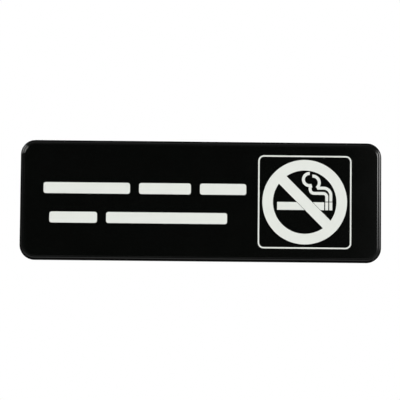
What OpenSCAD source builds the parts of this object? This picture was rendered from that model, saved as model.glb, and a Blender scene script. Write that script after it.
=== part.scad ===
// Self-adhesive wall sign with the no smoking symbol: a moulded panel with a stepped edge,
// a white print on its face, and two foam tape strips in its hollow back.
// The sign hangs upright: X runs along its width, Z points up and the face looks towards -Y.
// The origin is the centre of the sign, in the plane where the rim meets the wall.
// All lengths are in millimetres and all angles in degrees.

/* [Sign] */
// Width of the sign
sign_w = 228.6; // [190:0.1:300]
// Height of the sign
sign_h = 76.2; // [64:0.1:100]
// Depth from the wall to the face
sign_depth = 3.2; // [2.8:0.1:5]
// Radius of the corners, seen from the front
corner_r = 9.5; // [7:0.1:15]

/* [Stepped edge] */
// Draft of the rim's walls, which lets the moulding leave its tool
draft = 2; // [0:0.5:5]
// Radius of the round between the outer wall and the ledge
edge_r = 1.4; // [0.8:0.05:1.6]
// Width of the ledge
ledge_w = 0.6; // [0.2:0.05:1]
// Slope of the ledge, falling outwards
ledge_fall = 6; // [0:1:12]
// Height of the step from the ledge up to the face
step_h = 0.35; // [0.2:0.05:0.6]
// Radius of the round between the step and the face
step_r = 1.3; // [0.6:0.05:1.5]

/* [Hollow back] */
// Width of the rim where it meets the wall
rim_w = 2.2; // [1.5:0.1:3]
// Radius of the fillet between the rim and the hollow's floor
foot_r = 0.5; // [0.2:0.05:0.6]
// Size of the broken edge round the back of the rim
back_break = 0.2; // [0.1:0.05:0.4]

/* [Print] */
// Thickness of the ink
ink_t = 0.05; // [0.03:0.01:0.2]
// Space between the symbol's border and the long edges of the sign
border_margin = 8.55; // [6:0.05:12]
// Space between the symbol's border and the right edge of the sign
border_side = 19.05; // [12:0.05:24]
// Width of the border's line
border_line = 0.9; // [0.6:0.1:2]
// Outer radius of the border's corners
border_r = 3.7; // [2.5:0.1:6]
// Space between the border's line and the ring
ring_space = 1.85; // [1:0.05:4]
// Width of the ring's band
ring_band = 6.7; // [4:0.1:8]
// Width of the diagonal bar
slash_w = 6.75; // [4:0.05:8]
// Slope of the diagonal bar, falling to the right
slash_angle = 45; // [40:1:50]

/* [Cigarette and smoke] */
// Space between each end of the cigarette and the ring
cigarette_space = 2.65; // [2:0.05:4]
// Thickness of the cigarette
cigarette_t = 5; // [3:0.1:6]
// Space between the cigarette and the diagonal bar
slash_space = 0.25; // [0.15:0.05:0.6]
// Width of a smoke trail, and of each band at the burning end
trail_w = 1.88; // [1.2:0.02:2.2]
// Space between the bands, and between them and the cigarette
band_space = 0.69; // [0.5:0.01:1]
// Space between the cigarette and the smoke
smoke_space = 0.5; // [0.3:0.05:1]

/* [Message bars] */
// Space between the left edge of the sign and the first line of bars
message_side = 14.8; // [10:0.1:24]
// Space between the first line of bars and the symbol's border
message_space = 7.5; // [4:0.1:12]
// Height of a bar
bar_h = 7; // [4:0.1:10]
// Radius of a bar's corners
bar_r = 1.5; // [0.5:0.1:1.9]
// Space between two bars of one line
bar_space = 5.7; // [3:0.1:9]
// Distance from the first line of bars to the second
line_pitch = 18.6; // [14:0.1:22]
// How far the middle of the two lines lies below the middle of the sign
message_drop = 1.7; // [0:0.1:4]
// How far the second line starts to the right of the first
line_indent = 3.9; // [0:0.1:8]

/* [Foam tape] */
// Width of a tape strip
tape_w = 19; // [10:0.5:25]
// Thickness of the foam tape
tape_t = 1.6; // [1:0.1:2]
// How far a tape strip stands out of the hollow, so that it meets the wall before the rim does
tape_proud = 0.4; // [0.2:0.1:0.5]
// Space left round a tape strip in the hollow
tape_space = 1; // [0.5:0.1:3]
// Thickness of the paper liner that covers the glue
liner_t = 0.1; // [0.05:0.01:0.2]

/* [Hidden] */
$fn = 96;

black = [0.03, 0.03, 0.035];
white = [0.88, 0.89, 0.87];
foam_grey = [0.8, 0.8, 0.78];
paper = [0.93, 0.9, 0.8];

// Straight steps in each rounded stretch of the edge's section
arc_steps = 8;
// The corner centres lie this far from the middle of the sign
corner_x = sign_w / 2 - corner_r;
corner_y = sign_h / 2 - corner_r;
// Height of the hollow's floor above the wall, and what is left for the face
floor_z = tape_t - tape_proud;
face_t = sign_depth - floor_z;

ring_r = sign_h / 2 - border_margin - border_line - ring_space;
hole_r = ring_r - ring_band;
border_size = sign_h - 2 * border_margin;
symbol_x = sign_w / 2 - border_side - border_size / 2;
// The print's parts keep at least this space from each other
print_space = 0.4;

cigarette_half = hole_r - cigarette_space;
band_pitch = trail_w + band_space;
outer_trail_x = cigarette_half - trail_w / 2;
inner_trail_x = outer_trail_x - band_pitch;
// The smoke is drawn for a ring with a hole of this radius, and follows the hole's real size
drawn_hole_r = 20.1;
smoke_k = hole_r / drawn_hole_r;

// Inner trail: level run, bend above the cigarette, then a small and a large curl, each curl
// with the directions of its two ends from its centre
inner_level = 5.65 * smoke_k;
inner_bend_r = 2.3 * smoke_k;
small_curl_r = 2.7 * smoke_k;
small_curl_x = 6.05 * smoke_k;
small_curl_ends = [134, 270];
large_curl_r = 3.85 * smoke_k;
large_curl = [2.95, 14.4] * smoke_k;
large_curl_ends = [88, 292];
// Outer trail: level run, bend above the cigarette, then one curl
outer_level = 9 * smoke_k;
outer_bend_r = 4.5 * smoke_k;
outer_curl_r = 4.25 * smoke_k;
outer_curl = [4.9, 12.4] * smoke_k;
outer_curl_ends = [-52, 92];
outer_tip_x = 7.8 * smoke_k;

// Widths of the bars in each line, as shares of the first line's bars together
first_line = [0.468, 0.281, 0.251];
second_line = [0.258, 0.655];
line_start = message_side - sign_w / 2;
bars_w = symbol_x - border_size / 2 - message_space - line_start
    - (len(first_line) - 1) * bar_space;

// The hollow's flat floor starts this far inside the sign's outline
floor_rise = floor_z - foot_r + foot_r * sin(draft);
floor_inset = rim_w + floor_rise * tan(draft) + foot_r * cos(draft);
tape_x = corner_x - tape_space - tape_w / 2;
tape_l = sign_h - 2 * (floor_inset + tape_space);

// The point at a distance and a direction from a centre
function polar(centre, r, direction) = centre + r * [cos(direction), sin(direction)];

// Points along an arc
function arc(centre, r, from, to) =
    [for (i = [0:arc_steps]) polar(centre, r, from + (to - from) * i / arc_steps)];

// Sum of the first n entries of a list
function sum_of(list, n) = n == 0 ? 0 : list[n - 1] + sum_of(list, n - 1);

// Stands what was drawn lying face up on the back of the sign upright
module upright() {
    rotate([90, 0, 0]) children();
}

// Section through the edge, from the corner's centre out: x is the distance from that centre,
// y the height above the wall
module edge_section() {
    round_y = sign_depth - step_h - ledge_w * tan(ledge_fall) - edge_r * cos(ledge_fall);
    wall_top_y = round_y + edge_r * sin(draft);
    round_x = corner_r - wall_top_y * tan(draft) - edge_r * cos(draft);
    step_x = round_x + edge_r * sin(ledge_fall) - ledge_w;
    step_turn = acos(1 - step_h / step_r);
    top_x = step_x - step_r * sin(step_turn);
    polygon(concat(
        [[corner_r - rim_w, 0], [corner_r - back_break, 0], [corner_r, back_break]],
        arc([round_x, round_y], edge_r, draft, 90 - ledge_fall),
        arc([top_x, sign_depth - step_r], step_r, 90 - step_turn, 90),
        [[0, sign_depth], [0, floor_z]],
        arc([corner_r - floor_inset, floor_z - foot_r], foot_r, 90, draft)
    ));
}

// The edge runs along each side and round the corner after it, about a flat middle
module sign_panel() {
    color(black) upright() {
        for (side = [0:3]) rotate([0, 0, 90 * side]) {
            out = side % 2 == 0 ? corner_x : corner_y;
            along = side % 2 == 0 ? corner_y : corner_x;
            translate([out, 0, 0]) rotate([90, 0, 0])
                linear_extrude(2 * along, center = true) edge_section();
            translate([out, along, 0]) rotate_extrude(angle = 90) edge_section();
        }
        translate([-corner_x, -corner_y, floor_z]) cube([2 * corner_x, 2 * corner_y, face_t]);
    }
}

// A layer of ink on the sign's face, with the shape of the children
module ink() {
    color(white) upright() translate([0, 0, sign_depth]) linear_extrude(ink_t) children();
}

// Places the children about the middle of the symbol
module at_symbol() {
    translate([symbol_x, 0]) children();
}

module rounded_rectangle(w, h, r) {
    square([w, h - 2 * r], center = true);
    square([w - 2 * r, h], center = true);
    for (x = [-1, 1], y = [-1, 1]) translate([x * (w / 2 - r), y * (h / 2 - r)]) circle(r);
}

module diagonal(width) {
    rotate(-slash_angle) square([2 * ring_r, width], center = true);
}

module symbol_border() {
    inner_size = border_size - 2 * border_line;
    ink() at_symbol() difference() {
        rounded_rectangle(border_size, border_size, border_r);
        rounded_rectangle(inner_size, inner_size, border_r - border_line);
    }
}

module prohibition_ring() {
    ink() at_symbol() difference() {
        circle(ring_r);
        difference() {
            circle(hole_r);
            diagonal(slash_w);
        }
    }
}

module cigarette_print() {
    body_l = 2 * cigarette_half - 2 * band_pitch;
    ink() at_symbol() difference() {
        translate([0, -cigarette_t]) {
            translate([-cigarette_half, 0]) square([body_l, cigarette_t]);
            for (x = [inner_trail_x, outer_trail_x])
                translate([x - trail_w / 2, 0]) square([trail_w, cigarette_t]);
        }
        diagonal(slash_w + 2 * slash_space);
    }
}

// A slice of a disc, from one direction round to another less than 270 degrees on
module sector(centre, r, from, to) {
    reach = 2 * r;
    third = (to - from) / 3;
    intersection() {
        translate(centre) circle(r);
        polygon(concat([centre], [for (i = [0:3]) polar(centre, reach, from + i * third)]));
    }
}

// A curved stretch of a smoke trail, between the directions of its two ends
module curl(centre, r, ends) {
    difference() {
        sector(centre, r + trail_w / 2, ends[0], ends[1]);
        translate(centre) circle(r - trail_w / 2);
    }
}

// A straight stretch of a smoke trail, from one place to another above it or to its right
module straight(from, to) {
    level = from[1] == to[1];
    size = level ? [to[0] - from[0], trail_w] : [trail_w, to[1] - from[1]];
    translate(from - (level ? [0, trail_w / 2] : [trail_w / 2, 0])) square(size);
}

module inner_trail() {
    bend_x = inner_trail_x - inner_bend_r;
    bend_y = inner_level - inner_bend_r;
    straight([inner_trail_x, smoke_space], [inner_trail_x, bend_y]);
    curl([bend_x, bend_y], inner_bend_r, [0, 90]);
    straight([small_curl_x, inner_level], [bend_x, inner_level]);
    curl([small_curl_x, inner_level + small_curl_r], small_curl_r, small_curl_ends);
    curl(large_curl, large_curl_r, large_curl_ends);
}

module outer_trail() {
    bend_x = outer_trail_x - outer_bend_r;
    bend_y = outer_level - outer_bend_r;
    straight([outer_trail_x, smoke_space], [outer_trail_x, bend_y]);
    curl([bend_x, bend_y], outer_bend_r, [0, 90]);
    straight([outer_tip_x, outer_level], [bend_x, outer_level]);
    curl(outer_curl, outer_curl_r, outer_curl_ends);
}

module smoke_print() {
    ink() at_symbol() difference() {
        intersection() {
            union() {
                inner_trail();
                outer_trail();
            }
            circle(hole_r - print_space);
        }
        diagonal(slash_w + 2 * print_space);
    }
}

// One line of bars: each bar's width is its share of the bars' width
module bar_line(shares, y) {
    for (i = [0:len(shares) - 1]) {
        bar_w = shares[i] * bars_w;
        start = sum_of(shares, i) * bars_w + i * bar_space;
        translate([start + bar_w / 2, y]) rounded_rectangle(bar_w, bar_h, bar_r);
    }
}

module message_bars() {
    ink() translate([line_start, 0]) {
        bar_line(first_line, line_pitch / 2 - message_drop);
        translate([line_indent, 0]) bar_line(second_line, -line_pitch / 2 - message_drop);
    }
}

module tape_strip(x) {
    color(foam_grey) upright() translate([x, 0, floor_z - tape_t / 2])
        cube([tape_w, tape_l, tape_t], center = true);
}

module liner_strip(x) {
    color(paper) upright() translate([x, 0, floor_z - tape_t - liner_t / 2])
        cube([tape_w, tape_l, liner_t], center = true);
}

module foam_tape_left() {
    tape_strip(-tape_x);
}

module foam_tape_right() {
    tape_strip(tape_x);
}

module release_liner_left() {
    liner_strip(-tape_x);
}

module release_liner_right() {
    liner_strip(tape_x);
}

sign_panel();
symbol_border();
prohibition_ring();
cigarette_print();
smoke_print();
message_bars();
foam_tape_left();
foam_tape_right();
release_liner_left();
release_liner_right();
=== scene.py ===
"""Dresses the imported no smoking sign: its moulding, print, foam tape, liners and studio."""
import logging
import math
from collections.abc import Callable, Iterator
from contextlib import contextmanager
from dataclasses import dataclass, field
from enum import Enum

import bmesh
import bpy
from mathutils import Matrix, Vector


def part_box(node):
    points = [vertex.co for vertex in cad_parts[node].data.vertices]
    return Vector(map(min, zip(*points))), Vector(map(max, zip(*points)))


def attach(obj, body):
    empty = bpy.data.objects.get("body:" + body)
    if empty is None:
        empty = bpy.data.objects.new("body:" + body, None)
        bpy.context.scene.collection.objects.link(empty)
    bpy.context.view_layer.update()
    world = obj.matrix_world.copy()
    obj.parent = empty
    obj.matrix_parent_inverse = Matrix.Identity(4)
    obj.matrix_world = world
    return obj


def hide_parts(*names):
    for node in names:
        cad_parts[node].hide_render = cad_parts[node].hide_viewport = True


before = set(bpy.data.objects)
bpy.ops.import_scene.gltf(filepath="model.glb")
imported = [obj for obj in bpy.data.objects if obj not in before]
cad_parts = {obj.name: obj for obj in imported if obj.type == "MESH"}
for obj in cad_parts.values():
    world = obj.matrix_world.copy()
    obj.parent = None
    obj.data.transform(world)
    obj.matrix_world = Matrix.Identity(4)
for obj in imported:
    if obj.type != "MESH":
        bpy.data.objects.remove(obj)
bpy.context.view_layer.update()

# Lengths are in metres and angles in degrees, unless a comment says otherwise
MM = 0.001
# Two places closer than this are the same
SAME = 0.001 * MM
# The turn, in radians, that stands a flat primitive up, parallel to the sign's face
UPRIGHT = (math.pi / 2, 0, 0)
# The share of a unit normal along an axis: of a face that looks straight along it, and of one
# that leans that way
STRAIGHT, LEANING = 0.99, 0.3
# The profile that makes a bevel a true arc
ARC_PROFILE = 0.5
# Sockets of a Mix node that share their names: its colours and plain numbers, and their mixes
COLOUR_A, COLOUR_B, COLOUR_MIX = 6, 7, 2
NUMBER_A, NUMBER_B, NUMBER_MIX = 2, 3, 0
# Most values of a noise texture lie in this range
NOISE_RANGE = {"From Min": 0.3, "From Max": 0.7}
# A wave texture of scale 1 repeats after this length
WAVE_LENGTH = math.pi / 10
WHITE = (1, 1, 1, 1)

log = logging.getLogger("sign")

Point = tuple[float, float]
Span = tuple[float, float]
Inputs = dict[str | int, object]
Element = bmesh.types.BMVert | bmesh.types.BMEdge | bmesh.types.BMFace


class Side(Enum):
    """The two ends of the sign, by the direction in which each lies from its middle."""

    LEFT = -1
    RIGHT = 1


class Kind(Enum):
    """What is selected in edit mode, by the name of its list in mesh code."""

    VERT = "verts"
    EDGE = "edges"
    FACE = "faces"


def linear(code: str) -> tuple[float, float, float, float]:
    """Turns an sRGB colour into a linear one, by the curve of the sRGB standard.

    Args:
        code: The colour as six hex digits after a hash.

    Returns:
        Red, green, blue and an alpha of 1.
    """
    shares = [int(code[i:i + 2], 16) / 255 for i in (1, 3, 5)]
    red, green, blue = (
        s / 12.92 if s <= 0.04045 else ((s + 0.055) / 1.055) ** 2.4 for s in shares)
    return red, green, blue, 1.0


def set_inputs(tree: bpy.types.NodeTree, node: bpy.types.Node, inputs: Inputs) -> None:
    """Sets or links a node's inputs.

    Args:
        tree: The node tree that holds the node.
        node: The node.
        inputs: A value, or the output that is linked, for each named or numbered input.
    """
    for name, value in inputs.items():
        if isinstance(value, bpy.types.NodeSocket):
            tree.links.new(value, node.inputs[name])
        else:
            node.inputs[name].default_value = value


def add_node(tree: bpy.types.NodeTree, node_type: str, inputs: Inputs | None = None,
             **settings: object) -> bpy.types.Node:
    """Adds a node with its settings, values and links.

    Args:
        tree: The node tree that gets the node.
        node_type: The node's type.
        inputs: A value, or the output that is linked, for each named or numbered input.
        **settings: Values of the node's own properties.

    Returns:
        The new node.
    """
    made = tree.nodes.new(node_type)
    for name, value in settings.items():
        setattr(made, name, value)
    set_inputs(tree, made, inputs or {})
    return made


def set_ramp(ramp: bpy.types.Node, stops: list[Span]) -> None:
    """Gives a colour ramp its grey stops.

    Args:
        ramp: The colour ramp's node.
        stops: The place and the grey level of each stop, in order.
    """
    elements = ramp.color_ramp.elements
    # A new stop's place is only a start: all of them are put in their places after
    while len(elements) < len(stops):
        elements.new(0.5)
    for element, (place, level) in zip(elements, stops):
        element.position = place
        element.color = (level, level, level, 1)


def from_box(node: str, measure: Callable[[Vector, Vector], float]) -> float:
    """Makes a field that each new instance measures on a CAD node's box.

    Args:
        node: The node's name.
        measure: Takes the value from the box's lowest and highest corners.

    Returns:
        The dataclass field, typed as the value that it stands for.
    """
    return field(default_factory=lambda: measure(*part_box(node)))


def activate(piece: bpy.types.Object) -> None:
    """Deselects everything, then selects a piece and makes it the active one.

    Args:
        piece: The piece.
    """
    bpy.ops.object.select_all(action="DESELECT")
    piece.select_set(True)
    bpy.context.view_layer.objects.active = piece


@contextmanager
def editing(piece: bpy.types.Object, kind: Kind) -> Iterator[None]:
    """Opens a piece in edit mode with nothing selected, and leaves edit mode after.

    Args:
        piece: The piece to edit.
        kind: What is selected at first.

    Yields:
        Nothing, while the piece is open.
    """
    activate(piece)
    bpy.ops.object.mode_set(mode="EDIT")
    bpy.ops.mesh.select_mode(type=kind.name)
    bpy.ops.mesh.select_all(action="DESELECT")
    yield
    bpy.ops.object.mode_set(mode="OBJECT")


def choose(piece: bpy.types.Object, kind: Kind, wanted: Callable[[Element], bool]) -> None:
    """Selects the vertices, edges or faces of the edited piece that are wanted, and no others.

    Args:
        piece: The piece that is open in edit mode.
        kind: What is selected.
        wanted: Whether a vertex, edge or face is wanted.
    """
    bpy.ops.mesh.select_mode(type=kind.name)
    mesh = bmesh.from_edit_mesh(piece.data)
    for element in getattr(mesh, kind.value):
        element.select_set(wanted(element))
    mesh.select_flush_mode()
    bmesh.update_edit_mesh(piece.data)


def choose_all(kind: Kind) -> None:
    """Selects all vertices, edges or faces of the edited piece."""
    bpy.ops.mesh.select_mode(type=kind.name)
    bpy.ops.mesh.select_all(action="SELECT")


def settle(piece: bpy.types.Object, name: str) -> bpy.types.Object:
    """Names a new primitive and moves its place and turn into its mesh.

    Args:
        piece: The primitive.
        name: Its new name.

    Returns:
        The same primitive.
    """
    piece.name = name
    piece.data.name = name
    activate(piece)
    bpy.ops.object.transform_apply(location=True, rotation=True, scale=True)
    return piece


def apply_modifiers(piece: bpy.types.Object) -> None:
    """Applies every modifier of a piece, in order.

    Args:
        piece: The piece.
    """
    activate(piece)
    for modifier in list(piece.modifiers):
        bpy.ops.object.modifier_apply(modifier=modifier.name)


def arc(centre: Point, radius: float, start: float, end: float, steps: int) -> list[Point]:
    """Points along an arc of a section.

    Args:
        centre: The arc's centre.
        radius: The arc's radius.
        start: Direction of the first point from the centre, in degrees.
        end: Direction of the last point from the centre, in degrees.
        steps: How many straight steps the arc has.

    Returns:
        The points in order, both ends included.
    """
    turns = [math.radians(start + (end - start) * i / steps) for i in range(steps + 1)]
    return [(centre[0] + radius * math.cos(t), centre[1] + radius * math.sin(t)) for t in turns]


@dataclass(frozen=True)
class Finish:
    """One of the sign's real materials, with its index of refraction."""

    name: str
    index: float

    def surface(self, tree: bpy.types.NodeTree, place: bpy.types.NodeSocket) -> Inputs:
        """Makes the nodes of what varies over the surface.

        Args:
            tree: The material's node tree.
            place: The Object coordinates, in metres.

        Returns:
            What the shader's inputs are linked to.
        """
        raise NotImplementedError

    def make(self) -> bpy.types.Material:
        """Builds the material.

        Returns:
            The finished node material.
        """
        finish = bpy.data.materials.new(self.name)
        finish.use_nodes = True
        tree = finish.node_tree
        place = add_node(tree, "ShaderNodeTexCoord").outputs["Object"]
        set_inputs(tree, tree.nodes["Principled BSDF"], {
            "IOR": self.index, **self.surface(tree, place)})
        return finish


@dataclass(frozen=True)
class PolishedPolystyrene(Finish):
    """Black high-impact polystyrene, injection-moulded against a polished tool.

    A deep black that is nearly a mirror. The light in it wavers a little, because the skin
    shrinks unevenly over the wall, and a faint orange peel breaks up the edge of a highlight.
    """

    name: str = "polystyrene_black_polished_tool"
    index: float = 1.59
    black: str = "#050605"
    flow_black: str = "#080908"
    polish: Span = (0.05, 0.08)
    flow_width: float = 38 * MM
    flow_detail: float = 3
    flow_swirl: float = 1.2
    waver_width: float = 22 * MM
    waver_detail: float = 1
    waver_height: float = 0.03 * MM
    waver_strength: float = 0.35
    peel_width: float = 1.6 * MM
    peel_detail: float = 2
    peel_height: float = 0.006 * MM
    peel_strength: float = 0.3

    def surface(self, tree: bpy.types.NodeTree, place: bpy.types.NodeSocket) -> Inputs:
        """Makes the flow marks, the waver and the orange peel.

        Args:
            tree: The material's node tree.
            place: The Object coordinates, in metres.

        Returns:
            What the shader's inputs are linked to.
        """
        flow = add_node(tree, "ShaderNodeTexNoise", {
            "Vector": place, "Scale": 1 / self.flow_width, "Detail": self.flow_detail,
            "Distortion": self.flow_swirl})
        tint = add_node(tree, "ShaderNodeMix", {
            "Factor": flow.outputs["Fac"], COLOUR_A: linear(self.black),
            COLOUR_B: linear(self.flow_black)}, data_type="RGBA")
        haze = add_node(tree, "ShaderNodeMapRange", {
            "Value": flow.outputs["Fac"], **NOISE_RANGE, "To Min": self.polish[0],
            "To Max": self.polish[1]})
        waver = add_node(tree, "ShaderNodeTexNoise", {
            "Vector": place, "Scale": 1 / self.waver_width, "Detail": self.waver_detail})
        peel = add_node(tree, "ShaderNodeTexNoise", {
            "Vector": place, "Scale": 1 / self.peel_width, "Detail": self.peel_detail})
        wavy = add_node(tree, "ShaderNodeBump", {
            "Strength": self.waver_strength, "Distance": self.waver_height,
            "Height": waver.outputs["Fac"]})
        skin = add_node(tree, "ShaderNodeBump", {
            "Strength": self.peel_strength, "Distance": self.peel_height,
            "Height": peel.outputs["Fac"], "Normal": wavy.outputs["Normal"]})
        return {"Base Color": tint.outputs[COLOUR_MIX], "Roughness": haze.outputs["Result"],
                "Normal": skin.outputs["Normal"]}


@dataclass(frozen=True)
class ErodedPolystyrene(Finish):
    """The same polystyrene, moulded against the spark-eroded core side of the tool.

    A charcoal satin with a fine even grain, which no highlight runs across. Real spark-eroded
    grain is about 0.05 mm across; here it is 0.5 mm, so that it shows at the render's scale.
    """

    name: str = "polystyrene_black_eroded_tool"
    index: float = 1.59
    black: str = "#121312"
    worn_black: str = "#1B1C1B"
    satin: Span = (0.42, 0.58)
    grain_width: float = 0.5 * MM
    grain_detail: float = 3
    grain_sharpness: float = 0.65
    grain_height: float = 0.05 * MM
    grain_strength: float = 0.5
    cloud_width: float = 14 * MM
    cloud_detail: float = 4

    def surface(self, tree: bpy.types.NodeTree, place: bpy.types.NodeSocket) -> Inputs:
        """Makes the grain and its worn patches.

        Args:
            tree: The material's node tree.
            place: The Object coordinates, in metres.

        Returns:
            What the shader's inputs are linked to.
        """
        grain = add_node(tree, "ShaderNodeTexNoise", {
            "Vector": place, "Scale": 1 / self.grain_width, "Detail": self.grain_detail,
            "Roughness": self.grain_sharpness})
        cloud = add_node(tree, "ShaderNodeTexNoise", {
            "Vector": place, "Scale": 1 / self.cloud_width, "Detail": self.cloud_detail})
        tint = add_node(tree, "ShaderNodeMix", {
            "Factor": cloud.outputs["Fac"], COLOUR_A: linear(self.black),
            COLOUR_B: linear(self.worn_black)}, data_type="RGBA")
        satin = add_node(tree, "ShaderNodeMapRange", {
            "Value": grain.outputs["Fac"], **NOISE_RANGE, "To Min": self.satin[0],
            "To Max": self.satin[1]})
        bump = add_node(tree, "ShaderNodeBump", {
            "Strength": self.grain_strength, "Distance": self.grain_height,
            "Height": grain.outputs["Fac"]})
        return {"Base Color": tint.outputs[COLOUR_MIX], "Roughness": satin.outputs["Result"],
                "Normal": bump.outputs["Normal"]}


@dataclass(frozen=True)
class ScreenInk(Finish):
    """White vinyl ink, screen-printed in one pass and air-dried.

    A soft off-white with a satin sheen. The film is a little thinner in places, where the black
    dulls it, and it keeps a trace of the screen's weave. Real screen threads are 0.15 mm apart;
    here they are 0.9 mm apart, so that they show at the render's scale.
    """

    name: str = "vinyl_ink_white_screen_printed"
    index: float = 1.5
    white: str = "#E0E3DD"
    thin_white: str = "#D8DBD5"
    satin: Span = (0.42, 0.52)
    cloud_width: float = 9 * MM
    cloud_detail: float = 5
    cloud_sharpness: float = 0.6
    thread_space: float = 0.9 * MM
    weave_height: float = 0.01 * MM
    weave_strength: float = 0.25

    def surface(self, tree: bpy.types.NodeTree, place: bpy.types.NodeSocket) -> Inputs:
        """Makes the thin places and the trace of the weave.

        Args:
            tree: The material's node tree.
            place: The Object coordinates, in metres.

        Returns:
            What the shader's inputs are linked to.
        """
        cloud = add_node(tree, "ShaderNodeTexNoise", {
            "Vector": place, "Scale": 1 / self.cloud_width, "Detail": self.cloud_detail,
            "Roughness": self.cloud_sharpness})
        tint = add_node(tree, "ShaderNodeMix", {
            "Factor": cloud.outputs["Fac"], COLOUR_A: linear(self.white),
            COLOUR_B: linear(self.thin_white)}, data_type="RGBA")
        satin = add_node(tree, "ShaderNodeMapRange", {
            "Value": cloud.outputs["Fac"], **NOISE_RANGE, "To Min": self.satin[0],
            "To Max": self.satin[1]})
        warp, weft = [
            add_node(tree, "ShaderNodeTexWave", {
                "Vector": place, "Scale": WAVE_LENGTH / self.thread_space},
                wave_type="BANDS", bands_direction=direction, wave_profile="SIN")
            for direction in ("X", "Z")]
        weave = add_node(tree, "ShaderNodeMath", {
            0: warp.outputs["Fac"], 1: weft.outputs["Fac"]}, operation="MULTIPLY")
        bump = add_node(tree, "ShaderNodeBump", {
            "Strength": self.weave_strength, "Distance": self.weave_height,
            "Height": weave.outputs["Value"]})
        return {"Base Color": tint.outputs[COLOUR_MIX], "Roughness": satin.outputs["Result"],
                "Normal": bump.outputs["Normal"]}


@dataclass(frozen=True)
class SlitFoam(Finish):
    """Closed-cell polyethylene foam, slit from a roll.

    Dull and chalky. The knife opens the cells along the cut sides, so they show as pits of
    about 0.4 mm, which turn grey from their mouths inwards: painted shade in the pits.
    """

    name: str = "polyethylene_foam_slit"
    index: float = 1.51
    white: str = "#E0E0DA"
    # The grey of the pits is painted shade, not a colour of the foam
    pit_shade_grey: str = "#A9A9A1"
    dull: Span = (0.72, 0.95)
    cell_width: float = 0.4 * MM
    # From the edge of a pit's mouth to its full depth, as shares of a cell's width; the painted
    # shade in the pits deepens over the same span
    mouth: Span = (0.04, 0.3)
    pit_depth: float = 0.15 * MM
    pit_strength: float = 0.8

    def surface(self, tree: bpy.types.NodeTree, place: bpy.types.NodeSocket) -> Inputs:
        """Makes the opened cells.

        Args:
            tree: The material's node tree.
            place: The Object coordinates, in metres.

        Returns:
            What the shader's inputs are linked to.
        """
        cells = add_node(tree, "ShaderNodeTexVoronoi", {
            "Vector": place, "Scale": 1 / self.cell_width}, feature="DISTANCE_TO_EDGE")
        pit = add_node(tree, "ShaderNodeMapRange", {
            "Value": cells.outputs["Distance"], "From Min": self.mouth[0],
            "From Max": self.mouth[1]})
        # Painted shade: the pits turn grey from their mouths inwards
        tint = add_node(tree, "ShaderNodeMix", {
            "Factor": pit.outputs["Result"], COLOUR_A: linear(self.white),
            COLOUR_B: linear(self.pit_shade_grey)}, data_type="RGBA")
        dull = add_node(tree, "ShaderNodeMapRange", {
            "Value": pit.outputs["Result"], "To Min": self.dull[0], "To Max": self.dull[1]})
        bump = add_node(tree, "ShaderNodeBump", {
            "Strength": self.pit_strength, "Distance": self.pit_depth,
            "Height": pit.outputs["Result"]}, invert=True)
        return {"Base Color": tint.outputs[COLOUR_MIX], "Roughness": dull.outputs["Result"],
                "Normal": bump.outputs["Normal"]}


@dataclass(frozen=True)
class SiliconisedPaper(Finish):
    """Buff glassine paper, calendered and coated with silicone.

    Smooth and slightly shiny, with a cloudy look where the fibres lie thicker, and fine fibres
    that run along the roll.
    """

    name: str = "glassine_paper_siliconised"
    index: float = 1.45
    buff: str = "#E9E0C6"
    dense_buff: str = "#D9CCA6"
    sheen: Span = (0.3, 0.44)
    cloud_width: float = 3.5 * MM
    cloud_detail: float = 5
    cloud_sharpness: float = 0.55
    fibre_size: tuple[float, float, float] = (0.35 * MM, 0.35 * MM, 2.4 * MM)
    fibre_detail: float = 3
    fibre_curl: float = 0.6
    fibre_height: float = 0.03 * MM
    fibre_strength: float = 0.3
    # The fibres' part in the cloudy look, and the range in which most of its values lie
    fibre_share: float = 0.4
    mottle_range: Span = (0.34, 0.66)

    def surface(self, tree: bpy.types.NodeTree, place: bpy.types.NodeSocket) -> Inputs:
        """Makes the clouds and the fibres.

        Args:
            tree: The material's node tree.
            place: The Object coordinates, in metres.

        Returns:
            What the shader's inputs are linked to.
        """
        cloud = add_node(tree, "ShaderNodeTexNoise", {
            "Vector": place, "Scale": 1 / self.cloud_width, "Detail": self.cloud_detail,
            "Roughness": self.cloud_sharpness})
        along = add_node(tree, "ShaderNodeMapping", {
            "Vector": place, "Scale": [1 / size for size in self.fibre_size]})
        fibres = add_node(tree, "ShaderNodeTexNoise", {
            "Vector": along.outputs["Vector"], "Scale": 1, "Detail": self.fibre_detail,
            "Distortion": self.fibre_curl})
        mottle = add_node(tree, "ShaderNodeMix", {
            "Factor": self.fibre_share, NUMBER_A: cloud.outputs["Fac"],
            NUMBER_B: fibres.outputs["Fac"]}, data_type="FLOAT")
        spread = add_node(tree, "ShaderNodeMapRange", {
            "Value": mottle.outputs[NUMBER_MIX], "From Min": self.mottle_range[0],
            "From Max": self.mottle_range[1]})
        tint = add_node(tree, "ShaderNodeMix", {
            "Factor": spread.outputs["Result"], COLOUR_A: linear(self.buff),
            COLOUR_B: linear(self.dense_buff)}, data_type="RGBA")
        gloss = add_node(tree, "ShaderNodeMapRange", {
            "Value": spread.outputs["Result"], "To Min": self.sheen[0],
            "To Max": self.sheen[1]})
        bump = add_node(tree, "ShaderNodeBump", {
            "Strength": self.fibre_strength, "Distance": self.fibre_height,
            "Height": fibres.outputs["Fac"]})
        return {"Base Color": tint.outputs[COLOUR_MIX], "Roughness": gloss.outputs["Result"],
                "Normal": bump.outputs["Normal"]}


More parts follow.
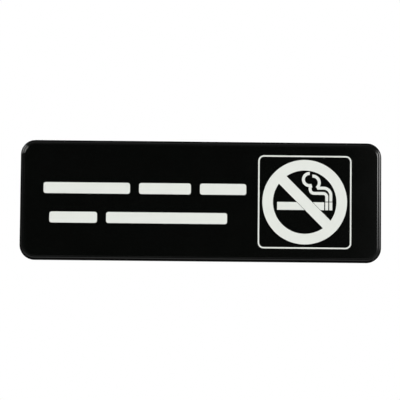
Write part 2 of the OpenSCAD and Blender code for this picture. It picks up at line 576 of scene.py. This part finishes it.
@dataclass(frozen=True)
class MattPaperRoll:
    """White matt paper from a roll, which the studio's floor is laid with.

    Plain and dull, with a faint tooth. For the camera alone, it fades into the white round it.
    """

    name: str = "paper_roll_white_matt"
    white: str = "#FAFAF8"
    tooth_white: str = "#F2F2F0"
    tooth_width: float = 2 * MM
    tooth_detail: float = 2
    # How far from the middle the fade begins and ends, and how white its beginning is
    fade: Span = (0.33, 0.6)
    fade_start: float = 0.6

    def make(self) -> bpy.types.Material:
        """Builds the material.

        Returns:
            The finished node material.
        """
        finish = bpy.data.materials.new(self.name)
        finish.use_nodes = True
        tree = finish.node_tree
        tree.nodes.clear()
        place = add_node(tree, "ShaderNodeTexCoord").outputs["Object"]
        apart = add_node(tree, "ShaderNodeVectorMath", {0: place}, operation="LENGTH")
        tooth = add_node(tree, "ShaderNodeTexNoise", {
            "Vector": place, "Scale": 1 / self.tooth_width, "Detail": self.tooth_detail})
        tint = add_node(tree, "ShaderNodeMix", {
            "Factor": tooth.outputs["Fac"], COLOUR_A: linear(self.tooth_white),
            COLOUR_B: linear(self.white)}, data_type="RGBA")
        paper = add_node(tree, "ShaderNodeBsdfDiffuse", {"Color": tint.outputs[COLOUR_MIX]})
        glow = add_node(tree, "ShaderNodeEmission", {"Color": WHITE, "Strength": 1})
        path = add_node(tree, "ShaderNodeLightPath")
        fade = add_node(tree, "ShaderNodeMapRange", {
            "Value": apart.outputs["Value"], "From Min": self.fade[0],
            "From Max": self.fade[1], "To Min": self.fade_start})
        share = add_node(tree, "ShaderNodeMath", {
            0: fade.outputs["Result"], 1: path.outputs["Is Camera Ray"]},
            operation="MULTIPLY")
        mix = add_node(tree, "ShaderNodeMixShader", {
            "Fac": share.outputs["Value"], 1: paper.outputs["BSDF"],
            2: glow.outputs["Emission"]})
        add_node(tree, "ShaderNodeOutputMaterial", {"Surface": mix.outputs["Shader"]})
        return finish


@dataclass
class Moulding:
    """The sign's panel: one moulding with a stepped edge and a hollow back."""

    width: float = from_box("sign_panel", lambda low, high: high.x - low.x)
    height: float = from_box("sign_panel", lambda low, high: high.z - low.z)
    depth: float = from_box("sign_panel", lambda low, high: -low.y)
    # The foam lies on the hollow's floor
    floor_z: float = from_box("foam_tape_right", lambda low, high: -low.y)
    corner_r: float = 9.5 * MM
    corner_steps: int = 28
    arc_steps: int = 10
    smooth_angle: float = 30
    # The edge, from the outer wall in to the face
    draft: float = 2
    edge_r: float = 1.4 * MM
    ledge_w: float = 0.6 * MM
    ledge_fall: float = 6
    step_h: float = 0.35 * MM
    step_r: float = 1.3 * MM
    # The rim, from the outer wall into the hollow
    back_break: float = 0.2 * MM
    rim_w: float = 2.2 * MM
    lip_r: float = 0.15 * MM
    lip_steps: int = 4
    foot_r: float = 0.5 * MM
    # The narrow band that keeps the shading of a flat face clear of the round beside it
    hold: float = 0.15 * MM
    # The ejector pins' marks, and the gate's well
    pin_r: float = 2.0 * MM
    pin_depth: float = 0.09 * MM
    pin_x: tuple[float, ...] = (-64 * MM, -22 * MM, 22 * MM, 64 * MM)
    pin_z: float = 24 * MM
    gate_well_r: float = 3.6 * MM
    gate_well_depth: float = 0.3 * MM
    # The stub that the cut gate leaves. It reaches past the floor by the well's depth and this
    # much more, and is then sunk by half of the well's depth
    gate_r: float = 0.8 * MM
    gate_reach: float = 0.22 * MM
    # The bars that cut the marks and make the stub: the sides of each, and the softening of its
    # ends, whose size is a share of how far the bar reaches past the floor
    bar_sides: int = 48
    bar_soft: float = 0.3
    bar_soft_steps: int = 2
    # What takes the choice of the hollow's faces safely past the bottom of the gate's well
    core_slack: float = 0.1 * MM
    polished: PolishedPolystyrene = field(default_factory=PolishedPolystyrene)
    eroded: ErodedPolystyrene = field(default_factory=ErodedPolystyrene)

    def front_section(self) -> list[Point]:
        """Section of the edge from the back of the outer wall up to the face.

        Returns:
            Points as distance out from a corner's centre and height above the wall.
        """
        lean, fall = math.radians(self.draft), math.radians(self.ledge_fall)
        ledge_rise = self.ledge_w * math.tan(fall)
        round_z = self.depth - self.step_h - ledge_rise - self.edge_r * math.cos(fall)
        wall_top = round_z + self.edge_r * math.sin(lean)
        round_x = self.corner_r - wall_top * math.tan(lean) - self.edge_r * math.cos(lean)
        step_x = round_x + self.edge_r * math.sin(fall) - self.ledge_w
        turn = math.acos(1 - self.step_h / self.step_r)
        top = (step_x - self.step_r * math.sin(turn), self.depth - self.step_r)
        return [
            (self.corner_r, self.back_break),
            *arc((round_x, round_z), self.edge_r, self.draft, 90 - self.ledge_fall,
                 self.arc_steps),
            *arc(top, self.step_r, 90 - math.degrees(turn), 90, self.arc_steps),
            (top[0] - self.hold, self.depth),
        ]

    def back_section(self) -> list[Point]:
        """Section of the rim from the outer wall round into the hollow.

        Returns:
            Points as distance out from a corner's centre and height above the wall.
        """
        lean = math.radians(self.draft)
        mouth_x = self.corner_r - self.rim_w
        rise = self.floor_z - self.foot_r + self.foot_r * math.sin(lean)
        foot_x = mouth_x - rise * math.tan(lean) - self.foot_r * math.cos(lean)
        lip = (mouth_x + self.lip_r, self.lip_r)
        foot = (foot_x, self.floor_z - self.foot_r)
        return [
            (self.corner_r, self.back_break),
            (self.corner_r - self.back_break, 0),
            (self.corner_r - self.back_break - self.hold, 0),
            *arc(lip, self.lip_r, 270, 180 + self.draft, self.lip_steps),
            *arc(foot, self.foot_r, self.draft, 90, self.arc_steps),
            (foot_x - self.hold, self.floor_z),
        ]

    def follow(self, section: list[Point], outward: int) -> None:
        """Insets the selected flat face again and again, so that its edge follows a section.

        Args:
            section: The section's points, from the face's present outline inwards.
            outward: 1 where the face looks away from the wall, -1 where it looks at it.
        """
        for (out, height), (next_out, next_height) in zip(section, section[1:]):
            bpy.ops.mesh.inset(
                thickness=out - next_out, depth=outward * (next_height - height),
                use_even_offset=True, use_relative_offset=False, use_boundary=True)

    def build_shell(self) -> bpy.types.Object:
        """Models the moulding from a rounded plate at the back of its outer wall.

        Returns:
            The closed shell.
        """
        level = (0, -self.back_break, 0)
        bpy.ops.mesh.primitive_plane_add(size=1, location=level, rotation=UPRIGHT)
        shell = settle(bpy.context.object, "sign_moulding")
        with editing(shell, Kind.VERT):
            choose_all(Kind.VERT)
            bpy.ops.transform.resize(
                value=(self.width, 1, self.height), center_override=level)
            bpy.ops.mesh.bevel(
                affect="VERTICES", offset_type="OFFSET", offset=self.corner_r,
                segments=self.corner_steps, profile=ARC_PROFILE)
            choose_all(Kind.FACE)
            self.follow(self.front_section(), 1)
            choose(shell, Kind.EDGE, lambda edge: edge.is_boundary)
            bpy.ops.mesh.edge_face_add()
            choose_all(Kind.FACE)
            bpy.ops.mesh.normals_make_consistent(inside=False)
            choose(shell, Kind.FACE, self.is_back_plate)
            self.follow(self.back_section(), -1)
        return shell

    def is_back_plate(self, face: bmesh.types.BMFace) -> bool:
        """Whether a face is the flat plate that still closes the back."""
        return face.normal.y > STRAIGHT and face.calc_area() > self.width * self.height / 2

    def add_bar(self, radius: float, reach: float, x: float, z: float) -> bpy.types.Object:
        """Adds a short round bar with softened ends that stands through the hollow's floor.

        Args:
            radius: The bar's radius.
            reach: How far it reaches below and above the floor.
            x: Its place along the sign.
            z: Its place up the sign.

        Returns:
            The bar.
        """
        bpy.ops.mesh.primitive_cylinder_add(
            vertices=self.bar_sides, radius=radius, depth=2 * reach,
            location=(x, -self.floor_z, z), rotation=UPRIGHT)
        bar = settle(bpy.context.object, "bar")
        with editing(bar, Kind.EDGE):
            choose(bar, Kind.EDGE, self.is_on_end)
            bpy.ops.mesh.bevel(
                offset=reach * self.bar_soft, segments=self.bar_soft_steps, affect="EDGES")
        return bar

    def is_on_end(self, edge: bmesh.types.BMEdge) -> bool:
        """Whether a bar's edge lies on one side of the hollow's floor."""
        return len({vertex.co.y < -self.floor_z for vertex in edge.verts}) == 1

    def combine(self, shell: bpy.types.Object, tool: bpy.types.Object, operation: str) -> None:
        """Cuts a tool out of the shell, or adds it, and removes the tool.

        Args:
            shell: The moulding.
            tool: The solid that is cut out or added.
            operation: DIFFERENCE or UNION.
        """
        modifier = shell.modifiers.new("combine", "BOOLEAN")
        modifier.operation = operation
        modifier.solver = "EXACT"
        modifier.object = tool
        apply_modifiers(shell)
        bpy.data.objects.remove(tool)

    def mark_back(self, shell: bpy.types.Object) -> None:
        """Leaves what the tool leaves in the hollow: ejector pin marks and the gate's well.

        Args:
            shell: The moulding.
        """
        places = [(x, z) for x in self.pin_x for z in (-self.pin_z, self.pin_z)]
        first_x, first_z = places[0]
        first = self.add_bar(self.pin_r, self.pin_depth, first_x, first_z)
        marks = [first]
        for x, z in places[1:]:
            copy = first.copy()
            copy.data = first.data.copy()
            copy.data.transform(Matrix.Translation((x - first_x, 0, z - first_z)))
            bpy.context.collection.objects.link(copy)
            marks.append(copy)
        marks.append(self.add_bar(self.gate_well_r, self.gate_well_depth, 0, 0))
        activate(first)
        for mark in marks:
            mark.select_set(True)
        bpy.ops.object.join()
        self.combine(shell, bpy.context.object, "DIFFERENCE")
        stub = self.add_bar(self.gate_r, self.gate_well_depth + self.gate_reach, 0, 0)
        stub.data.transform(Matrix.Translation((0, -self.gate_well_depth / 2, 0)))
        self.combine(shell, stub, "UNION")

    def build(self) -> bpy.types.Object:
        """Models the panel and shades its rounds smooth.

        Returns:
            The finished piece.
        """
        shell = self.build_shell()
        self.mark_back(shell)
        activate(shell)
        bpy.ops.object.shade_smooth_by_angle(angle=math.radians(self.smooth_angle))
        return shell

    def dress(self, shell: bpy.types.Object) -> None:
        """Gives the front the polished finish and everything behind the outer wall the other.

        Args:
            shell: The finished piece.
        """
        shell.data.materials.clear()
        shell.data.materials.append(self.polished.make())
        shell.data.materials.append(self.eroded.make())
        with editing(shell, Kind.FACE):
            choose(shell, Kind.FACE, self.is_core_side)
            # The second slot, with the eroded finish
            shell.active_material_index = 1
            bpy.ops.object.material_slot_assign()
        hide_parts("sign_panel")
        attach(shell, "root")

    def is_core_side(self, face: bmesh.types.BMFace) -> bool:
        """Whether a face is moulded by the tool's core, behind the break or in the hollow.

        Args:
            face: A face of the panel.

        Returns:
            True if it is.
        """
        middle = face.calc_center_median()
        inner_x = self.width / 2 - self.rim_w + self.lip_r
        inner_z = self.height / 2 - self.rim_w + self.lip_r
        in_hollow = abs(middle.x) < inner_x and abs(middle.z) < inner_z
        behind = -middle.y < self.floor_z + self.gate_well_depth + self.core_slack
        return face.normal.y > LEANING or (in_hollow and behind and face.normal.y > -LEANING)


@dataclass
class Print:
    """The white print on the face: its solids stay, and get the look of screen ink."""

    nodes: tuple[str, ...] = (
        "symbol_border", "prohibition_ring", "cigarette_print", "smoke_print", "message_bars")
    ink: ScreenInk = field(default_factory=ScreenInk)

    def dress(self) -> None:
        """Gives every printed node the ink."""
        ink = self.ink.make()
        for name in self.nodes:
            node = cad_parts[name]
            if not node.material_slots:
                node.data.materials.append(ink)
            for slot in node.material_slots:
                slot.material = ink


@dataclass
class FoamTape:
    """Two strips of double-sided foam tape with paper liners, in the hollow back."""

    width: float = from_box("foam_tape_right", lambda low, high: high.x - low.x)
    length: float = from_box("foam_tape_right", lambda low, high: high.z - low.z)
    tape_x: float = from_box("foam_tape_right", lambda low, high: (low.x + high.x) / 2)
    floor_z: float = from_box("foam_tape_right", lambda low, high: -low.y)
    proud: float = from_box("foam_tape_right", lambda low, high: high.y)
    liner_t: float = from_box("release_liner_right", lambda low, high: high.y - low.y)
    mesh_step: float = 0.8 * MM
    smooth_angle: float = 35
    # The foam's cut sides: their rows between front and back, how far the knife wanders, and
    # how far they draw in, half of it over all rows and half over the band in the middle
    cut_rows: int = 5
    cut_wander: float = 0.05 * MM
    wander_seed: int = 3
    waist: float = 0.14 * MM
    waist_band: float = 0.35 * MM
    # What the sides may have moved by when the band is chosen, and what keeps a choice of rows
    # clear of the front and the back
    moved: float = 0.3 * MM
    row_margin: float = 0.01 * MM
    # The liner's lifted corner
    corner_lift: float = 0.3 * MM
    lift_reach: float = 9 * MM
    foam: SlitFoam = field(default_factory=SlitFoam)
    paper: SiliconisedPaper = field(default_factory=SiliconisedPaper)

    def add_sheet(self, name: str, side: Side, y: float, thickness: float) -> bpy.types.Object:
        """Models a flat strip of the tape's outline, one layer thick and closed.

        Args:
            name: The strip's name.
            side: The end of the sign where it lies.
            y: The plane of its front.
            thickness: How far it reaches back from there.

        Returns:
            The strip as a grid that a modifier gives its thickness.
        """
        centre = (side.value * self.tape_x, y, 0)
        bpy.ops.mesh.primitive_grid_add(
            x_subdivisions=round(self.width / self.mesh_step),
            y_subdivisions=round(self.length / self.mesh_step),
            size=1, location=centre, rotation=UPRIGHT)
        strip = settle(bpy.context.object, name)
        with editing(strip, Kind.VERT):
            choose_all(Kind.VERT)
            bpy.ops.transform.resize(
                value=(self.width, 1, self.length), center_override=centre)
        wall = strip.modifiers.new("thickness", "SOLIDIFY")
        wall.thickness = thickness
        wall.offset = -1
        return strip

    def is_on_side(self, vertex: bmesh.types.BMVert, side: Side, slack: float) -> bool:
        """Whether a vertex lies on a cut side of the strip, or no further in than the slack."""
        across = abs(vertex.co.x - side.value * self.tape_x)
        return across > self.width / 2 - slack or abs(vertex.co.z) > self.length / 2 - slack

    def build_foam(self, side: Side) -> bpy.types.Object:
        """Models a foam strip with drawn-in, slightly ragged cut sides.

        Args:
            side: The end of the sign where it lies.

        Returns:
            The foam strip.
        """
        name = f"foam_strip_{side.name.lower()}"
        strip = self.add_sheet(name, side, -self.floor_z, self.floor_z + self.proud)
        apply_modifiers(strip)
        low, high = -self.floor_z + self.row_margin, self.proud - self.row_margin
        middle = (low + high) / 2
        with editing(strip, Kind.EDGE):
            choose(strip, Kind.EDGE, lambda edge: abs(
                edge.verts[0].co.y - edge.verts[1].co.y) > self.floor_z)
            bpy.ops.mesh.subdivide(number_cuts=self.cut_rows)
            choose(strip, Kind.VERT, lambda vertex: self.is_on_side(vertex, side, SAME)
                   and low < vertex.co.y < high)
            bpy.ops.transform.vertex_random(
                offset=self.cut_wander, uniform=1, normal=0,
                seed=self.wander_seed + side.value)
            bpy.ops.transform.shrink_fatten(value=-self.waist / 2)
            choose(strip, Kind.VERT, lambda vertex: self.is_on_side(vertex, side, self.moved)
                   and abs(vertex.co.y - middle) < self.waist_band)
            bpy.ops.transform.shrink_fatten(value=-self.waist / 2)
            bpy.ops.mesh.select_all(action="SELECT")
            bpy.ops.mesh.normals_make_consistent(inside=False)
        return strip

    def build_liner(self, side: Side) -> bpy.types.Object:
        """Models a paper liner, with one corner that has come up a little.

        Args:
            side: The end of the sign where it lies.

        Returns:
            The liner.
        """
        name = f"paper_liner_{side.name.lower()}"
        sheet = self.add_sheet(name, side, self.proud, self.liner_t)
        corner_x = side.value * (self.tape_x - self.width / 2)
        corner_z = -side.value * self.length / 2
        with editing(sheet, Kind.VERT):
            choose(sheet, Kind.VERT, lambda vertex: abs(vertex.co.x - corner_x) < SAME
                   and abs(vertex.co.z - corner_z) < SAME)
            bpy.ops.transform.translate(
                value=(0, self.corner_lift, 0), use_proportional_edit=True,
                proportional_edit_falloff="SHARP", proportional_size=self.lift_reach)
        apply_modifiers(sheet)
        return sheet

    def make(self) -> list[bpy.types.Object]:
        """Builds and dresses both strips with their liners.

        Returns:
            The four pieces.
        """
        foam = self.foam.make()
        paper = self.paper.make()
        made = []
        for side in Side:
            end = side.name.lower()
            parts = [
                (self.build_foam(side), foam, "foam_tape_", "tape_foam"),
                (self.build_liner(side), paper, "release_liner_", "liner_paper"),
            ]
            for piece, finish, node, slot in parts:
                piece.data.materials.clear()
                piece.data.materials.append(finish)
                activate(piece)
                bpy.ops.object.shade_smooth_by_angle(angle=math.radians(self.smooth_angle))
                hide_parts(node + end)
                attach(piece, "root")
                made.append(piece)
        return made


@dataclass(frozen=True)
class Softbox:
    """A flat lamp that looks at the sign's middle, and may fade out towards its lower border.

    Attributes:
        name: The lamp's name.
        off_axis: How far off square on it stands.
        clock: Its direction round the sign, from the right and over the top.
        distance: How far it stands from the sign's middle.
        radial_size: Its length away from square on.
        round_size: Its length round the sign.
        radiance: Its brightness, apart from the fade.
        fade: Its level at the lower border, as a share, and where along its height, from 0 to
            1, it begins to rise from that and is full. As it stands, the lamp is even.
    """

    name: str
    off_axis: float
    clock: float
    distance: float
    radial_size: float
    round_size: float
    radiance: float
    fade: tuple[float, float, float] = (1, -1, 0)

    def add(self) -> bpy.types.Object:
        """Adds the lamp.

        Returns:
            The lamp's object.
        """
        away, clock = math.radians(self.off_axis), math.radians(self.clock)
        back = Vector((math.sin(away) * math.cos(clock), -math.cos(away),
                       math.sin(away) * math.sin(clock)))
        along = Vector((-math.sin(clock), 0, math.cos(clock)))
        bpy.ops.object.light_add(type="AREA", location=self.distance * back)
        lamp = bpy.context.object
        lamp.name = self.name
        lamp.rotation_euler = Matrix((along.cross(back), along, back)).transposed().to_euler()
        lamp.data.shape = "RECTANGLE"
        lamp.data.size, lamp.data.size_y = self.radial_size, self.round_size
        lamp.data.energy = self.radiance * math.pi * self.radial_size * self.round_size
        lamp.visible_camera = False
        low_level, low_end, high_end = self.fade
        lamp.data.use_nodes = True
        tree = lamp.data.node_tree
        place = add_node(tree, "ShaderNodeNewGeometry").outputs["Parametric"]
        height = add_node(tree, "ShaderNodeSeparateXYZ", {"Vector": place})
        level = add_node(tree, "ShaderNodeMapRange", {
            "Value": height.outputs["Y"], "From Min": low_end, "From Max": high_end,
            "To Min": low_level})
        set_inputs(tree, tree.nodes["Emission"], {"Strength": level.outputs["Result"]})
        return lamp


@dataclass
class Studio:
    """The camera, lamps, surroundings and floor."""

    # The camera: its lens and its sensor's width in millimetres, the depths that it sees, where
    # it stands from the point that it aims at, and its roll
    lens: float = 213.2
    sensor: float = 36
    clip: Span = (0.01, 20)
    eye_distance: float = 1.5
    eye_left: float = 0.5
    eye_low: float = 4.9
    roll: float = 0.55
    aim: tuple[float, float, float] = (-0.52 * MM, -1 * MM, 0.87 * MM)
    # The floor
    floor_z: float = -0.3
    floor_size: float = 1.3
    floor_sides: int = 96
    floor_paper: MattPaperRoll = field(default_factory=MattPaperRoll)
    lamps: tuple[Softbox, ...] = (
        Softbox("right_softbox", 46, 10.7, 1.8, 1.35, 0.85, 6.8, (0.1, 0.32, 0.49)),
        Softbox("right_card", 18.5, 8, 1.8, 0.2, 0.8, 1.1, (0.3, 0.3, 0.6)),
        Softbox("upper_left_box", 37, 150, 1.05, 0.24, 0.26, 12.5),
        Softbox("low_card", 11, 270, 0.9, 0.15, 1.4, 0.2),
        Softbox("rear_softbox", 150, 90, 1.3, 0.6, 0.6, 4.5),
    )
    # The even light from the front and from the back
    diffuse_front: float = 0.48
    diffuse_back: float = 0.6
    # The dark gap in front of the sign, which its face mirrors towards the camera, lies this far
    # to the left of and above square on
    gap_left: float = 6
    gap_up: float = 5
    # What a polished surface mirrors, by the angle from the middle of that gap
    mirrored: tuple[Span, ...] = (
        (180, 0.03), (120, 0.01), (60, 0.01), (28, 0.015), (21, 0.13), (16, 0.32), (13, 0.24),
        (11.7, 0.012), (8, 0.004), (0, 0.001))

    def add_camera(self) -> None:
        """Adds the camera at the photo's viewing angle, a little left of and below square on."""
        left, low = math.radians(self.eye_left), math.radians(self.eye_low)
        away = Vector((-math.sin(left) * math.cos(low), -math.cos(left) * math.cos(low),
                       -math.sin(low)))
        bpy.ops.object.camera_add(location=Vector(self.aim) + self.eye_distance * away)
        camera = bpy.context.object
        camera.name = "camera"
        turn = (-away).to_track_quat("-Z", "Y").to_matrix()
        roll = Matrix.Rotation(math.radians(self.roll), 3, "Z")
        camera.rotation_euler = (turn @ roll).to_euler()
        camera.data.lens = self.lens
        camera.data.sensor_width = self.sensor
        camera.data.clip_start, camera.data.clip_end = self.clip
        bpy.context.scene.camera = camera

    def add_world(self) -> None:
        """Surrounds the sign with white for the camera, and a dim studio for its surfaces."""
        world = bpy.data.worlds.new("studio")
        bpy.context.scene.world = world
        world.use_nodes = True
        tree = world.node_tree
        tree.nodes.clear()
        direction = add_node(tree, "ShaderNodeTexCoord").outputs["Generated"]
        left, up = math.radians(self.gap_left), math.radians(self.gap_up)
        gap = (-math.sin(left) * math.cos(up), -math.cos(left) * math.cos(up), math.sin(up))
        nearness = add_node(tree, "ShaderNodeVectorMath", {
            0: direction, 1: gap}, operation="DOT_PRODUCT")
        ahead = add_node(tree, "ShaderNodeMapRange", {
            "Value": nearness.outputs["Value"], "From Min": -1})
        mirrored = add_node(tree, "ShaderNodeValToRGB", {"Fac": ahead.outputs["Result"]})
        set_ramp(mirrored, [
            ((1 + math.cos(math.radians(angle))) / 2, level) for angle, level in self.mirrored])
        soft = add_node(tree, "ShaderNodeMapRange", {
            "Value": ahead.outputs["Result"], "To Min": self.diffuse_back,
            "To Max": self.diffuse_front})
        path = add_node(tree, "ShaderNodeLightPath")
        light = add_node(tree, "ShaderNodeMix", {
            "Factor": path.outputs["Is Glossy Ray"], COLOUR_A: soft.outputs["Result"],
            COLOUR_B: mirrored.outputs["Color"]}, data_type="RGBA")
        seen = add_node(tree, "ShaderNodeMix", {
            "Factor": path.outputs["Is Camera Ray"], COLOUR_A: light.outputs[COLOUR_MIX],
            COLOUR_B: WHITE}, data_type="RGBA")
        sky = add_node(tree, "ShaderNodeBackground", {
            "Color": seen.outputs[COLOUR_MIX], "Strength": 1})
        add_node(tree, "ShaderNodeOutputWorld", {"Surface": sky.outputs["Background"]})

    def add_floor(self) -> None:
        """Lays a pale floor well below the sign, which fades into the white round it."""
        bpy.ops.mesh.primitive_circle_add(
            vertices=self.floor_sides, radius=self.floor_size / 2, fill_type="NGON",
            location=(0, 0, self.floor_z))
        floor = settle(bpy.context.object, "studio_floor")
        floor.data.materials.append(self.floor_paper.make())
        floor.visible_glossy = False

    def build(self) -> None:
        """Sets up the whole studio."""
        bpy.context.scene.view_settings.view_transform = "Standard"
        self.add_camera()
        self.add_world()
        self.add_floor()
        for lamp in self.lamps:
            lamp.add()


def report(piece: bpy.types.Object) -> None:
    """Logs a piece's name and the number of its faces."""
    log.info("%s: %d faces", piece.name, len(piece.data.polygons))


def main() -> None:
    logging.basicConfig(level=logging.INFO, format="%(name)s: %(message)s")
    moulding = Moulding()
    panel = moulding.build()
    moulding.dress(panel)
    report(panel)
    ink = Print()
    ink.dress()
    for name in ink.nodes:
        report(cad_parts[name])
    for piece in FoamTape().make():
        report(piece)
    studio = Studio()
    studio.build()
    log.info("studio: %d lamps", len(studio.lamps))


if __name__ == "__main__":
    main()
